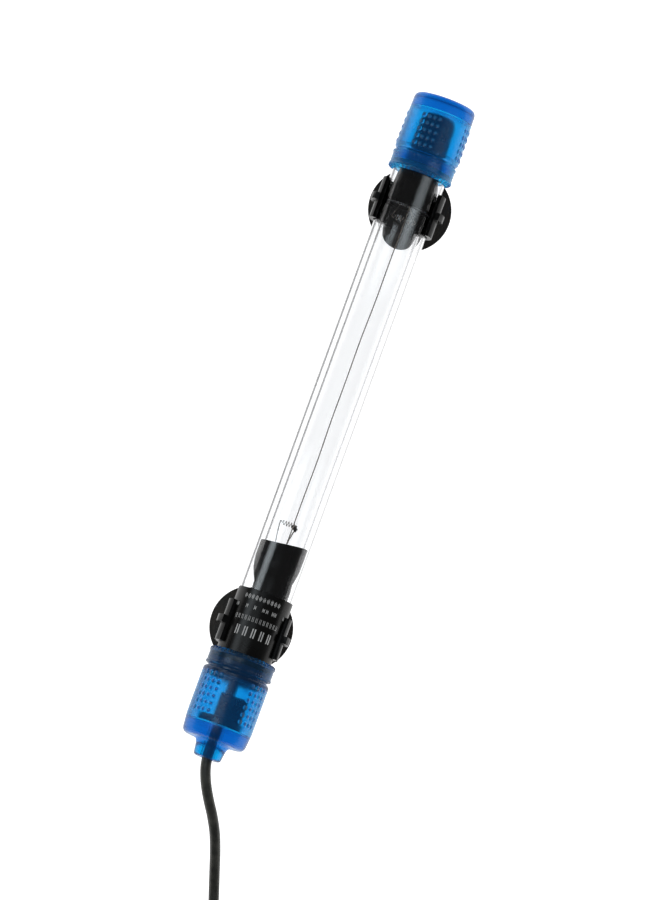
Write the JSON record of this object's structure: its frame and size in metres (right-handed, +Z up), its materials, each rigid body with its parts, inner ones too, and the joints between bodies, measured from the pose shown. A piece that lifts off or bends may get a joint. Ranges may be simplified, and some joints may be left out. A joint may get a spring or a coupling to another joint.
{
  "type": "aquarium uv clarifier",
  "caption": "Submersible UV clarifier: clear quartz sleeve with a lamp inside, translucent blue screwed end caps, sliding clips with suction cups and a coiled mains cord.",
  "frame": {"origin": "middle of the lamp's footprint, cord left out, on the plane that the suction cups rest on", "axes": "+X along the lamp towards the plain cap, +Z up from the suction cups to the tube, the cord leaves towards -X"},
  "size_m": [0.4812, 0.0731, 0.0415],
  "materials": {
    "cap_blue": "translucent gloss",
    "quartz": "clear",
    "lamp_glass": "clear",
    "clip_black": "satin",
    "cup_rubber": "matt",
    "boot_black": "satin shrink tube",
    "label_film": "gloss film with plain white bars",
    "seal_clear": "frosted silicone",
    "lead_metal": "drawn wire",
    "board_green": "satin",
    "coil_copper": "enamelled",
    "part_black": "satin",
    "cord_black": "satin jacket",
    "plug_black": "fine matt",
    "pin_nickel": "polished"
  },
  "bodies": {
    "lamp": {"quartz_sleeve": "quartz", "label_band": "label_film", "lamp_glass": "lamp_glass", "stem_upper": "lamp_glass", "stem_lower": "lamp_glass", "filament_upper": "lead_metal", "filament_lower": "lead_metal", "return_wire": "lead_metal", "boot_upper": "boot_black", "boot_ring_upper": "boot_black", "boot_lower": "boot_black", "ballast_board": "board_green", "ballast_capacitor": "part_black", "ballast_coil": "coil_copper", "bung_lower": "cup_rubber", "upper_seal": "seal_clear", "lower_seal": "seal_clear"},
    "upper_nut": {"upper_collar_nut": "cap_blue"},
    "lower_nut": {"lower_collar_nut": "cap_blue"},
    "plain_cap": {"upper_cap": "cap_blue"},
    "cable_cap": {"lower_cap": "cap_blue", "splice_block": "part_black", "inner_lead_live": "part_black", "inner_lead_neutral": "part_black", "cable_grommet": "cup_rubber", "cord_stub": "cord_black", "cord_lead": "cord_black", "cord_coil": "cord_black", "cord_tail": "cord_black", "coil_tie": "part_black", "plug_body": "plug_black", "plug_pin_live": "pin_nickel", "plug_pin_neutral": "pin_nickel"},
    "upper_clip_body": {"upper_clip": "clip_black"},
    "lower_clip_body": {"lower_clip": "clip_black"},
    "upper_cup": {"upper_suction_cup": "cup_rubber"},
    "lower_cup": {"lower_suction_cup": "cup_rubber"}
  },
  "joints": [
    {"name": "upper_nut_turn", "type": "hinge", "parent": "lamp", "child": "upper_nut", "pos_m": [0.1262, 0, 0.026], "axis": [-1, 0, 0], "range_deg": [0, 1080]},
    {"name": "upper_cap_draw", "type": "slide", "parent": "lamp", "child": "plain_cap", "axis": [1, 0, 0], "range_m": [0, 0.006]},
    {"name": "lower_nut_turn", "type": "hinge", "parent": "lamp", "child": "lower_nut", "pos_m": [-0.1132, 0, 0.026], "axis": [1, 0, 0], "range_deg": [0, 1080]},
    {"name": "lower_cap_draw", "type": "slide", "parent": "lamp", "child": "cable_cap", "axis": [-1, 0, 0], "range_m": [0, 0.006]},
    {"name": "upper_clip_slide", "type": "slide", "parent": "lamp", "child": "upper_clip_body", "axis": [1, 0, 0], "range_m": [-0.0848, 0.005]},
    {"name": "lower_clip_slide", "type": "slide", "parent": "lamp", "child": "lower_clip_body", "axis": [1, 0, 0], "range_m": [-0.0024, 0.0747]},
    {"name": "upper_cup_swivel", "type": "hinge", "parent": "upper_clip_body", "child": "upper_cup", "pos_m": [0.1098, -0.0013, 0.009], "axis": [0, 0, 1], "continuous": true},
    {"name": "lower_cup_swivel", "type": "hinge", "parent": "lower_clip_body", "child": "lower_cup", "pos_m": [-0.0937, 0.0013, 0.009], "axis": [0, 0, 1], "continuous": true}
  ],
  "couplings": [
    {"joint": "upper_nut_turn", "follows": "upper_cap_draw", "rad_per_m": 3141.6},
    {"joint": "lower_nut_turn", "follows": "lower_cap_draw", "rad_per_m": 3141.6}
  ]
}
